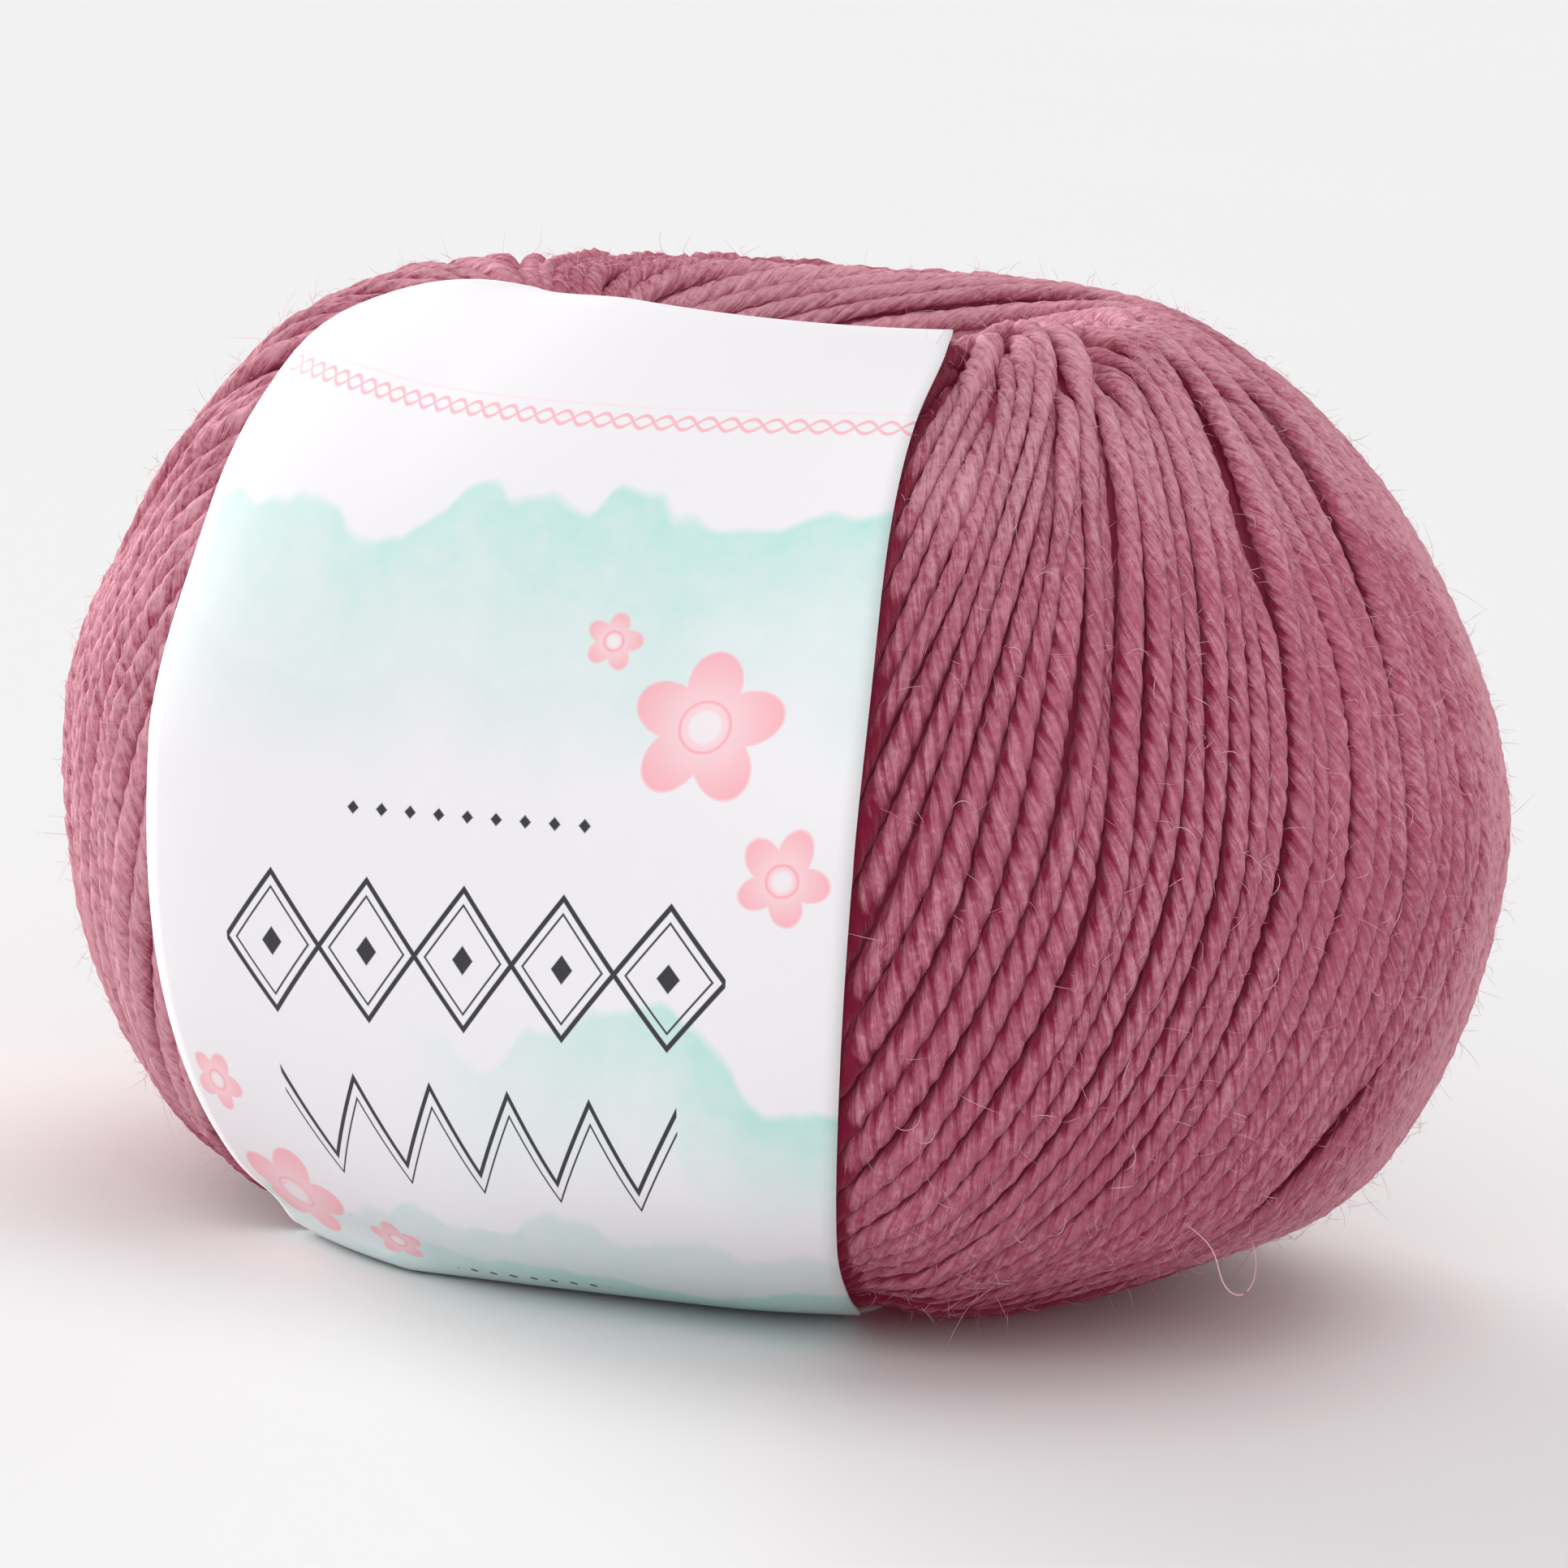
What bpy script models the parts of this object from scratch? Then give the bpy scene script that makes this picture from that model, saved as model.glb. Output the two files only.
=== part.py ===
"""Ball of wool yarn, wound round an open centre hole, with a paper band through the hole.

Frame: metres, +Z up along the centre hole, origin at the middle of the bounding box's bottom.
The band's front faces -Y.  Angles round the ball are measured from -Y towards +X.

A place on the ball's skin is (station, angle).  The station runs once round the ball's
cross-section: 0 widest level, 1 top rim, 2 and 3 the ends of the hole's wall, 4 and 5 the flat
ring it rests on, and back to 6, the widest level again.
"""

import math
from collections import namedtuple

import bpy

MM = 0.001

# The wound ball
BALL_RADIUS = 48.0 * MM
BALL_HEIGHT = 65.0 * MM
WIDEST_HEIGHT = 32.7 * MM
RIM_RADIUS = 20.0 * MM          # highest circle round the hole
HOLE_RADIUS = 11.0 * MM
HOLE_TOP_ROUNDING = 15.0 * MM   # height over which the top rim turns into the hole's wall
HOLE_FOOT_ROUNDING = 12.0 * MM
FLAT_INNER_RADIUS = 18.0 * MM   # flat ring that the ball rests on
FLAT_OUTER_RADIUS = 24.0 * MM
UPPER_FULLNESS = 1.58           # superellipse exponents of the two outer quarters
LOWER_FULLNESS = 2.10

# The winding: each turn leans as a taut thread does that just touches a circle round the axis
RIDGE_COUNT = 64
RIDGE_DEPTH = 0.7 * MM
WINDING_CIRCLE = 14.0 * MM
STEEPEST_LEAN = 0.75            # sine of the largest lean from the upright
LEAN_STEPS = 400

# The paper band
BAND_THICKNESS = 1.0 * MM
BAND_CLEARANCE = 0.5 * MM
BAND_COLUMNS = 14
BED_MARGIN = 1.3 * MM           # the bed in the yarn reaches this far past the band's edges
BED_SLOPE = 4.5 * MM            # and then rises to the skin over this width
CREASE_DISTANCE = 21.0 * MM     # from the axis to the straight crease where the band meets the floor
CREASE_ANGLE = 26.0             # degrees, the way the crease faces
CREASE_REACH = 28.5 * MM
CREASE_FADE = 12.0 * MM         # height over which the crease's inward pull dies out
SPREAD_FADE = 3.0 * MM          # and its outward spread

# Rows of the mesh between whole stations
ROWS_PER_STATION = (11, 5, 4, 5, 3, 12)
STATION_COUNT = len(ROWS_PER_STATION)

BandStation = namedtuple("BandStation", "station left right press reach_left reach_right")

# The band's two edges in degrees from straight ahead, how deep it presses into the ball, and
# how far that squeeze reaches to each side, in half widths of the band
BAND_STATIONS = (
    BandStation(0.00, -32.2, 31.4, 4.5 * MM, 1.2, 1.2),
    BandStation(0.28, -36.2, 31.8, 4.2 * MM, 1.2, 1.2),
    BandStation(0.50, -47.0, 33.2, 3.4 * MM, 1.4, 1.3),
    BandStation(0.66, -54.5, 36.4, 2.7 * MM, 1.6, 1.4),
    BandStation(0.85, -52.0, 43.5, 2.1 * MM, 3.0, 1.6),
    BandStation(1.00, -48.0, 48.0, 1.9 * MM, 6.0, 1.5),
    BandStation(1.25, -47.0, 47.0, 1.9 * MM, 3.0, 1.5),
    BandStation(1.60, -70.0, 70.0, 0.9 * MM, 1.8, 1.3),
    BandStation(2.00, -112.0, 112.0, 0.0, 1.2, 1.2),
    BandStation(3.00, -112.0, 112.0, 0.0, 1.2, 1.2),
    BandStation(3.50, -94.0, 88.0, 0.0, 1.2, 1.2),
    BandStation(4.00, -66.0, 62.0, 0.0, 1.2, 1.2),
    BandStation(5.00, -41.0, 46.5, 0.0, 1.2, 1.2),
    BandStation(5.27, -39.0, 38.8, 1.6 * MM, 1.2, 1.2),
    BandStation(5.44, -34.5, 35.0, 2.8 * MM, 1.2, 1.2),
    BandStation(5.69, -32.2, 32.6, 3.8 * MM, 1.2, 1.2),
)

YARN_COLOUR = (0.40, 0.105, 0.17, 1.0)
PAPER_COLOUR = (0.88, 0.88, 0.90, 1.0)


def smooth_step(value):
    """Ease from 0 to 1 as the value goes from 0 to 1."""
    value = min(max(value, 0.0), 1.0)
    return value * value * (3.0 - 2.0 * value)


def profile(station):
    """Radius and height of the ball's skin at a station of its cross-section."""
    station = station % STATION_COUNT
    segment = int(station)
    angle = (station - segment) * math.pi / 2.0
    cosine = max(math.cos(angle), 0.0)
    sine = max(math.sin(angle), 0.0)
    if segment == 0:
        power = 2.0 / UPPER_FULLNESS
        radius = RIM_RADIUS + (BALL_RADIUS - RIM_RADIUS) * cosine ** power
        height = WIDEST_HEIGHT + (BALL_HEIGHT - WIDEST_HEIGHT) * sine ** power
    elif segment == 1:
        radius = RIM_RADIUS - (RIM_RADIUS - HOLE_RADIUS) * sine
        height = BALL_HEIGHT - HOLE_TOP_ROUNDING * (1.0 - cosine)
    elif segment == 2:
        wall_top = BALL_HEIGHT - HOLE_TOP_ROUNDING
        radius = HOLE_RADIUS
        height = wall_top + (HOLE_FOOT_ROUNDING - wall_top) * (station - segment)
    elif segment == 3:
        radius = FLAT_INNER_RADIUS - (FLAT_INNER_RADIUS - HOLE_RADIUS) * cosine
        height = HOLE_FOOT_ROUNDING * (1.0 - sine)
    elif segment == 4:
        radius = FLAT_INNER_RADIUS + (FLAT_OUTER_RADIUS - FLAT_INNER_RADIUS) * (station - segment)
        height = 0.0
    else:
        power = 2.0 / LOWER_FULLNESS
        radius = FLAT_OUTER_RADIUS + (BALL_RADIUS - FLAT_OUTER_RADIUS) * sine ** power
        height = WIDEST_HEIGHT * (1.0 - cosine ** power)
    return radius, height


def profile_normal(station):
    """Outward direction of the cross-section, as radial and upward parts."""
    step = 0.01
    segment = int(station % STATION_COUNT)
    before = max(station % STATION_COUNT - step, segment)
    after = min(before + 2.0 * step, segment + 1.0 - step * 0.01)
    radius_a, height_a = profile(before)
    radius_b, height_b = profile(after)
    along_r = radius_b - radius_a
    along_z = height_b - height_a
    length = math.hypot(along_r, along_z)
    return along_z / length, -along_r / length


def band_at(station):
    """The band at a station, read smoothly between its rows, with its edges in radians."""
    station = station % STATION_COUNT
    rows = BAND_STATIONS
    count = len(rows)
    index = max(i for i in range(count) if rows[i].station <= station)

    def place(i):
        return rows[i % count].station + STATION_COUNT * (i // count)

    share = (station - place(index)) / (place(index + 1) - place(index))
    values = []
    for name in BandStation._fields[1:]:
        a, b, c, d = (getattr(rows[i % count], name) for i in range(index - 1, index + 3))
        gap = place(index + 1) - place(index)
        slope_b = (c - a) / (place(index + 1) - place(index - 1)) * gap
        slope_c = (d - b) / (place(index + 2) - place(index)) * gap
        cube = share ** 3
        square = share ** 2
        value = (2.0 * cube - 3.0 * square + 1.0) * b + (cube - 2.0 * square + share) * slope_b
        value += (3.0 * square - 2.0 * cube) * c + (cube - square) * slope_c
        values.append(value)
    left, right, press, reach_left, reach_right = values
    left = math.radians(left)
    right = math.radians(right)
    return BandStation(station, left, right, max(press, 0.0), reach_left, reach_right)


def bed_share(station, angle):
    """1 under the band, falling to 0 a little way past its edges."""
    band = band_at(station)
    radius, _ = profile(station)
    past_edge = max(band.left - angle, angle - band.right) * radius
    return 1.0 - smooth_step((past_edge - BED_MARGIN) / BED_SLOPE)


def band_squeeze(station, angle):
    """How deep the band's pull presses the skin in here."""
    band = band_at(station)
    past_middle = angle - 0.5 * (band.left + band.right)
    reach = band.reach_right if past_middle > 0.0 else band.reach_left
    across = past_middle / (0.5 * (band.right - band.left) * reach)
    return band.press * max(1.0 - across * across, 0.0) ** 2


def skin_point(station, angle, depth=0.0):
    """Point of the ball's skin, squeezed by the band, and then this deep below that skin."""
    angle = (angle + math.pi) % (2.0 * math.pi) - math.pi
    radius, height = profile(station)
    out_r, out_z = profile_normal(station)
    squeeze = band_squeeze(station, angle)
    wall = station % STATION_COUNT
    if wall >= STATION_COUNT - 1:
        radius -= squeeze
    else:
        radius -= squeeze * out_r
        height -= squeeze * out_z
    if wall >= 4.0:
        share = bed_share(station, angle) * smooth_step(wall - 4.0)
        radius += share * crease_shift(angle, height)
    return radius - depth * out_r, height - depth * out_z


def crease_shift(angle, height):
    """How far the band's straight crease on the floor moves the foot of the ball outwards."""
    turned = angle - math.radians(CREASE_ANGLE)
    reach = CREASE_DISTANCE / max(math.cos(turned), 0.1)
    shift = min(reach, CREASE_REACH) - FLAT_OUTER_RADIUS
    fade = CREASE_FADE if shift < 0.0 else SPREAD_FADE
    return shift * max(1.0 - height / fade, 0.0) ** 2


def winding_lean():
    """Angle that a turn gains from the widest level to the top rim, and to the flat ring."""
    gained = []
    for start, end in ((0.0, 1.0), (6.0, 5.0)):
        table = [0.0]
        for i in range(LEAN_STEPS):
            station_a = start + (end - start) * i / LEAN_STEPS
            station_b = start + (end - start) * (i + 1) / LEAN_STEPS
            radius_a, height_a = profile(min(station_a, 5.99999))
            radius_b, height_b = profile(min(station_b, 5.99999))
            run = math.hypot(radius_b - radius_a, height_b - height_a)
            radius = 0.5 * (radius_a + radius_b)
            sine = min(WINDING_CIRCLE / radius, STEEPEST_LEAN)
            table.append(table[-1] + run * sine / math.sqrt(1.0 - sine * sine) / radius)
        gained.append(table)
    return gained


def turn_angle(station, lean):
    """Angle by which a ridge has moved round the ball at a station."""
    up, down = lean
    station = station % STATION_COUNT
    if station <= 1.0:
        return up[round(station * LEAN_STEPS)]
    if station >= 5.0:
        return -down[round((6.0 - station) * LEAN_STEPS)]
    share = smooth_step((station - 1.0) / 4.0)
    return up[-1] * (1.0 - share) - down[-1] * share


def mesh_rows():
    """Stations of the mesh's rows, once round the cross-section."""
    rows = []
    for segment, count in enumerate(ROWS_PER_STATION):
        rows += [segment + i / count for i in range(count)]
    return rows


def place(radius, height, angle):
    """World point of a radius, a height and an angle round the axis."""
    return (radius * math.sin(angle), -radius * math.cos(angle), height)


def make_material(name, colour, roughness):
    material = bpy.data.materials.new(name)
    material.use_nodes = True
    shader = material.node_tree.nodes["Principled BSDF"]
    shader.inputs["Base Color"].default_value = colour
    shader.inputs["Roughness"].default_value = roughness
    shader.inputs["Metallic"].default_value = 0.0
    return material


def make_object(name, points, faces, material):
    mesh = bpy.data.meshes.new(name)
    mesh.from_pydata(points, [], faces)
    mesh.materials.append(material)
    mesh.shade_smooth()
    obj = bpy.data.objects.new(name, mesh)
    bpy.context.scene.collection.objects.link(obj)
    return obj


def ring_faces(row_count, column_count, first=0):
    """Quads of a closed grid, whose rows and columns both wrap round."""
    faces = []
    for row in range(row_count):
        for column in range(column_count):
            a = row * column_count + column
            b = row * column_count + (column + 1) % column_count
            c = (row + 1) % row_count * column_count + (column + 1) % column_count
            d = (row + 1) % row_count * column_count + column
            faces.append((first + a, first + b, first + c, first + d))
    return faces


def make_yarn_ball():
    """The wound ball: a ring-shaped body with leaning ridges and a bed for the band."""
    rows = mesh_rows()
    columns = 2 * RIDGE_COUNT
    lean = winding_lean()
    points = []
    for station in rows:
        turned = turn_angle(station, lean)
        flat_part = smooth_step(abs(station - 4.5) * 2.0 - 1.0)
        for column in range(columns):
            angle = 2.0 * math.pi * column / columns + turned
            wrapped = (angle + math.pi) % (2.0 * math.pi) - math.pi
            depth = (BAND_THICKNESS + BAND_CLEARANCE) * bed_share(station, wrapped)
            depth += RIDGE_DEPTH * flat_part * (column % 2)
            radius, height = skin_point(station, wrapped, depth)
            points.append(place(radius, height, angle))
    material = make_material("yarn", YARN_COLOUR, 0.9)
    return make_object("yarn_ball", points, ring_faces(len(rows), columns), material)


def make_paper_band():
    """The band: one closed strip round the front, over the rim and through the hole."""
    rows = mesh_rows()
    points = []
    for station in rows:
        band = band_at(station)
        for depth, order in ((0.0, 1), (BAND_THICKNESS, -1)):
            for column in range(BAND_COLUMNS + 1)[::order]:
                angle = band.left + (band.right - band.left) * column / BAND_COLUMNS
                radius, height = skin_point(station, angle, depth)
                points.append(place(radius, height, angle))
    around = 2 * (BAND_COLUMNS + 1)
    material = make_material("band", PAPER_COLOUR, 0.6)
    return make_object("paper_band", points, ring_faces(len(rows), around), material)


def centre_on_origin(objects):
    """Move the parts so that the middle of their box's bottom is the origin."""
    points = [vertex.co for obj in objects for vertex in obj.data.vertices]
    lows = [min(point[axis] for point in points) for axis in range(3)]
    highs = [max(point[axis] for point in points) for axis in range(3)]
    for obj in objects:
        for vertex in obj.data.vertices:
            vertex.co.x -= 0.5 * (lows[0] + highs[0])
            vertex.co.y -= 0.5 * (lows[1] + highs[1])
            vertex.co.z -= lows[2]


def main():
    for obj in list(bpy.data.objects):
        bpy.data.objects.remove(obj)
    centre_on_origin([make_yarn_ball(), make_paper_band()])


main()
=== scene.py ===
import math

import bpy
import numpy as np
from mathutils import Matrix, Vector


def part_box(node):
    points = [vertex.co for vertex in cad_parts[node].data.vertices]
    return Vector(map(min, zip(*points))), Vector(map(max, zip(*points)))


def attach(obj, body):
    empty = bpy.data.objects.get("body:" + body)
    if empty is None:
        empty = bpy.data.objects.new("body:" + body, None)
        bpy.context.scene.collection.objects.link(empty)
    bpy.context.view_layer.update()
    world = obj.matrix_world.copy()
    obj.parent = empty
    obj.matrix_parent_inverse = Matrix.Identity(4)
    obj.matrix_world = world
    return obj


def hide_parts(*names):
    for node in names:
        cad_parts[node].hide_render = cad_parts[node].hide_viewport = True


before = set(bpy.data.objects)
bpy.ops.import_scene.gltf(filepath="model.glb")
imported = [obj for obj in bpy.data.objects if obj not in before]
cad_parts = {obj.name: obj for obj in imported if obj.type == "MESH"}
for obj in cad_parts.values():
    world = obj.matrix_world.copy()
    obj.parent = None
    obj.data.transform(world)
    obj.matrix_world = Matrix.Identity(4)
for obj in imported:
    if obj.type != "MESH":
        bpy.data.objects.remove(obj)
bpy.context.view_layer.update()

# Ball of wool yarn with a paper band, on a pale floor in soft light.  Metres, +Z up.  Angles
# round the ball are measured from -Y towards +X.  A place on its skin is (station, angle), as in
# the CAD: 0 widest level, 1 top rim, 2 and 3 the ends of the hole's wall, 4 and 5 the flat ring,
# 6 the widest level again.  A strand's turn is its station, counted down from 0 below that level.

MM = 0.001
FULL_TURN = 2.0 * math.pi
SEED = 11

# The wound ball's form, as in the CAD
BALL_RADIUS = 48.0 * MM
BALL_HEIGHT = 65.0 * MM
WIDEST_HEIGHT = 32.7 * MM
RIM_RADIUS = 20.0 * MM
HOLE_RADIUS = 11.0 * MM
HOLE_TOP_ROUNDING = 15.0 * MM
HOLE_FOOT_ROUNDING = 12.0 * MM
FLAT_INNER_RADIUS = 18.0 * MM
FLAT_OUTER_RADIUS = 24.0 * MM
UPPER_FULLNESS = 1.58
LOWER_FULLNESS = 2.10
STATION_COUNT = 6
AXIS_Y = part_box("yarn_ball")[1].y - BALL_RADIUS

BAND_SPACE = 0.75 * MM
BED_MARGIN = 1.3 * MM
BED_SLOPE = 4.5 * MM
CREASE_DISTANCE = 21.0 * MM
CREASE_ANGLE = 26.0
CREASE_REACH = 28.5 * MM
CREASE_FADE = 12.0 * MM
SPREAD_FADE = 3.0 * MM
# Fuller and flatter places of the ball: angle, half width, station, half length, mm outwards
BULGES = (
    (-64, 42, 0.60, 0.38, 1.7), (-50, 36, 1.10, 0.34, -1.0), (60, 13, 1.02, 0.32, 1.1),
    (84, 60, 5.24, 0.30, -2.0),
)

# Station, left and right edge in degrees, press in mm, reach to the left and right
BAND_STATIONS = np.array((
    (0.00, -32.2, 31.4, 4.5, 1.2, 1.2),
    (0.28, -36.2, 31.8, 4.2, 1.2, 1.2),
    (0.50, -47.0, 33.2, 3.4, 1.4, 1.3),
    (0.66, -54.5, 36.4, 2.7, 1.6, 1.4),
    (0.85, -52.0, 43.5, 2.1, 3.0, 2.0),
    (1.00, -48.0, 48.0, 1.9, 6.0, 3.0),
    (1.25, -47.0, 47.0, 1.9, 3.0, 2.2),
    (1.60, -70.0, 70.0, 0.9, 1.8, 1.3),
    (2.00, -112.0, 112.0, 0.0, 1.2, 1.2),
    (3.00, -112.0, 112.0, 0.0, 1.2, 1.2),
    (3.50, -94.0, 88.0, 0.0, 1.2, 1.2),
    (4.00, -66.0, 62.0, 0.0, 1.2, 1.2),
    (5.00, -41.0, 46.5, 0.0, 1.2, 1.2),
    (5.27, -39.0, 38.8, 1.6, 1.2, 1.2),
    (5.44, -34.5, 35.0, 2.8, 1.2, 1.2),
    (5.69, -32.2, 32.6, 3.8, 1.2, 1.2),
))

# Camera
CAMERA_ANGLE = 26.0
CAMERA_HEIGHT_ANGLE = 7.9
CAMERA_DISTANCE = 0.5
CAMERA_ROLL = 5.89
CAMERA_LENS = 172.8
CAMERA_SHIFT = (-0.004, -0.018)

# Strands.  The last tables give, for an angle from the camera at the widest level, the lean
# there and how far round a strand gets by the top rim and the flat ring, in degrees
STRAND_COUNT = 156
STRAND_WIDTH = 1.98 * MM
SQUEEZED_SHARE = 0.55  # crowded strands squeeze to this share
SQUEEZED_SINK = 0.75
OVERLAP = 1.02
LOWEST_SHARE = 0.56  # a strand's middle stays this share of its width off the floor
WIDEST_SHARE = 1.12
UNEVEN_HEIGHT = 0.18 * MM
# Proud strands and hollows: angle from the camera, half width, turn, half length, mm outwards
SWELLS = (
    (43.0, 1.3, 0.60, 0.42, 0.9), (57.0, 1.3, 0.62, 0.50, 1.0), (50.0, 6.5, 0.60, 0.34, -1.0),
    (26.0, 1.3, 0.62, 0.34, 0.5), (20.5, 3.6, 0.62, 0.26, -0.6), (4.0, 1.3, 0.62, 0.34, 0.5),
    (34.0, 1.3, 0.50, 0.40, 0.4), (38.5, 3.0, 0.55, 0.26, -0.4), (66.0, 6.0, 0.66, 0.30, -0.5),
)
START_JITTER = 0.12  # of the space between two strands
ORDER_SHUFFLE = 0.2
WIDTH_RANGE = (0.94, 1.05)
SLOW_SWAY = 0.7  # sideways, in mm
QUICK_SWAY = 0.22
END_TURN = 0.25  # over this turn a strand's end dives under the others
END_SINK = 1.5
LOOSE_HEIGHT = 0.6 * MM  # strands that rise more are twisted tighter
LOOSE_TWIST = 0.85
TWIST_RANGE = (0.86, 1.16)
SWELL_SHARE = 0.03  # each strand thickens and thins by this
SWELL_COUNTS = (4, 9)
TWIST_WANDER = 0.09
UNEVEN_PLY = 0.03
STRAND_PIECES = 4
PATH_STEPS = 520
RINGS = 156
HIDDEN_TURN = -1.15
HIDDEN_DETAIL = 0.6
RING_COLUMNS = 12
PLY_COUNT = 4
PLY_PITCH = 7.6 * MM
PLY_GROOVE = 0.85
TOP_TURN = 1.72
FOOT_TURN = -1.95
RIM_TURN = 1.0
FLAT_TURN = -1.0
TOUCH_CIRCLE = 18.5 * MM
TOP_GROWTH = 2.4
FOOT_GROWTH = 1.6
STEEPEST_LEAN = 0.94
DEEPEST_SINK = 1.5
TABLE_SPREAD = 10  # degrees over which the tables below are smoothed
LEANS = ((-60, 6), (-28, 17), (8, 21), (20, 14), (28, 9), (45, 8), (70, 10), (110, 14),
         (190, 14), (250, 9), (270, 4))
TOP_TURNS = ((-28, 45), (0, 34), (12, 26), (25, 18), (43, 17), (57, 27), (90, 42), (130, 56),
             (200, 68), (240, 62), (270, 44), (300, 40))
FOOT_TURNS = ((-28, 60), (0, 60), (10, 60), (20, 52), (28, 46), (45, 47), (60, 48), (90, 50),
              (180, 55), (230, 45), (270, 32), (300, 40))

# Painted shade of the strands, in strand widths of depth.  Painted light makes the wool paler and
# fills the painted groove shade.
# A pair is where a part starts or ends and how far it fades, in degrees from the camera or turns
SUNK_SHADE = 0.35
WORN_SHADE = 1.1  # the lower strands right of the band are worn soft
WORN_DOWN = (0.22, 0.35)
WORN_LEFT = (2.0, 25.0)
WORN_RIGHT = (115.0, 20.0)
# Painted light, paler wool with fainter grooves, on the upper side and on both limbs
UPPER_PAINTED_LIGHT = 2.8
UPPER_UP = (0.30, 0.30)
UPPER_SIDE = (115.0, 30.0)
RIGHT_PAINTED_LIGHT = 1.3
RIGHT_START = (30.0, 35.0)
LIMB_PAINTED_LIGHT = 2.2
LIMB_START = (64.0, 16.0)
LIMB_END = (150.0, 40.0)
LEFT_PAINTED_LIGHT = 2.8
LEFT_START = (-150.0, 40.0)
LEFT_END = (-38.0, 12.0)
LEFT_FOOT_PAINTED_LIGHT = 0.3
LEFT_DOWN = (0.0, 0.3)
EDGE_REACH = 1.6 * MM  # this close to the band's edge the wool lies in shade
EDGE_SHADE = 2.4
# Painted shade under the ball: the wool is painted darker near the floor
UNDER_HEIGHT = 9.0 * MM  # below this the wool darkens towards the floor
UNDER_SHADE = 2.2

# The turns of yarn on the hole's wall, and the wound body under all strands
WALL_COUNT = 26
WALL_RINGS = 100
WALL_LEAN = 0.95
WALL_STATIONS = (1.35, 4.3)
WALL_END = 0.45
WALL_END_SINK = 1.6
CORE_ROWS = 100
CORE_LEAN = 0.8
CORE_DEPTH = 0.95 * STRAND_WIDTH
CORE_GROOVE = 0.5 * MM

# Loose fibres
FIBRE_COUNT = 8000
FIBRE_RADIUS = 0.016 * MM
FIBRE_MARGIN = 1.2 * MM
FIBRE_STEPS = 4
FIBRE_LENGTH = 1.9  # at most, in mm
FIBRE_ROOT = 0.46  # of a strand's width from its middle
SPARE_FIBRES = 3  # drawn for each one kept clear of the band
END_RINGS = 12  # at each end, where no fibre grows
STRAY_COUNT = 60
STRAY_STEPS = 24
STRAY_RADIUS = 0.028 * MM
STRAY_STATIONS = (-0.55, 0.7)
STRAY_SIDES = (12.0, 75.0)
STRAY_SIZES = (1.2, 2.6)
STRAY_CURL = 2.4
STRAY_RISE = 0.15 * MM
STRAY_LIFT = 0.35 * MM
# The hair that hangs off the foot: right and down from where it leaves the wool, in mm
LOOP_STATION = -0.47
LOOP_ANGLE = 41.0
LOOP = ((0.0, 0.0), (1.5, 0.9), (2.2, 1.9), (2.5, 3.0), (3.0, 3.9), (3.8, 4.3), (4.5, 3.9),
        (4.8, 2.8), (4.7, 1.6), (4.3, 0.6))
LOOP_RADIUS = 0.06 * MM
LOOP_LIFT = 0.3 * MM

rng = np.random.default_rng(SEED)


def smooth_step(value):
    value = np.clip(value, 0.0, 1.0)
    return value * value * (3.0 - 2.0 * value)


def rising(value, start, width):
    return smooth_step((value - start) / width)


def falling(value, end, width):
    return smooth_step((end - value) / width)


def wrapped(angle):
    return (angle + math.pi) % FULL_TURN - math.pi


def unit(vectors):
    return vectors / np.linalg.norm(vectors, axis=-1)[..., None]


def profile(station):
    """Radius and height of the ball's skin."""
    station = np.asarray(station, float) % STATION_COUNT
    segment = np.floor(station)
    share = station - segment
    cosine = np.clip(np.cos(share * math.pi / 2.0), 0.0, None)
    sine = np.clip(np.sin(share * math.pi / 2.0), 0.0, None)
    upper = 2.0 / UPPER_FULLNESS
    lower = 2.0 / LOWER_FULLNESS
    wall_top = BALL_HEIGHT - HOLE_TOP_ROUNDING
    places = [segment == i for i in range(STATION_COUNT - 1)]
    radii = [
        RIM_RADIUS + (BALL_RADIUS - RIM_RADIUS) * cosine ** upper,
        RIM_RADIUS - (RIM_RADIUS - HOLE_RADIUS) * sine,
        HOLE_RADIUS,
        FLAT_INNER_RADIUS - (FLAT_INNER_RADIUS - HOLE_RADIUS) * cosine,
        FLAT_INNER_RADIUS + (FLAT_OUTER_RADIUS - FLAT_INNER_RADIUS) * share,
    ]
    heights = [
        WIDEST_HEIGHT + (BALL_HEIGHT - WIDEST_HEIGHT) * sine ** upper,
        BALL_HEIGHT - HOLE_TOP_ROUNDING * (1.0 - cosine),
        wall_top + (HOLE_FOOT_ROUNDING - wall_top) * share,
        HOLE_FOOT_ROUNDING * (1.0 - sine),
        0.0,
    ]
    outer = FLAT_OUTER_RADIUS + (BALL_RADIUS - FLAT_OUTER_RADIUS) * sine ** lower
    radius = np.select(places, radii, outer)
    height = np.select(places, heights, WIDEST_HEIGHT * (1.0 - cosine ** lower))
    return radius, height


def profile_normal(station):
    """Outward direction of the cross-section, as radial and upward parts."""
    step = 0.01
    station = np.asarray(station, float) % STATION_COUNT
    segment = np.floor(station)
    before = np.maximum(station - step, segment)
    after = np.minimum(before + 2.0 * step, segment + 1.0 - step * 0.01)
    radius_a, height_a = profile(before)
    radius_b, height_b = profile(after)
    length = np.hypot(radius_b - radius_a, height_b - height_a)
    return (height_b - height_a) / length, (radius_a - radius_b) / length


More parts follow.
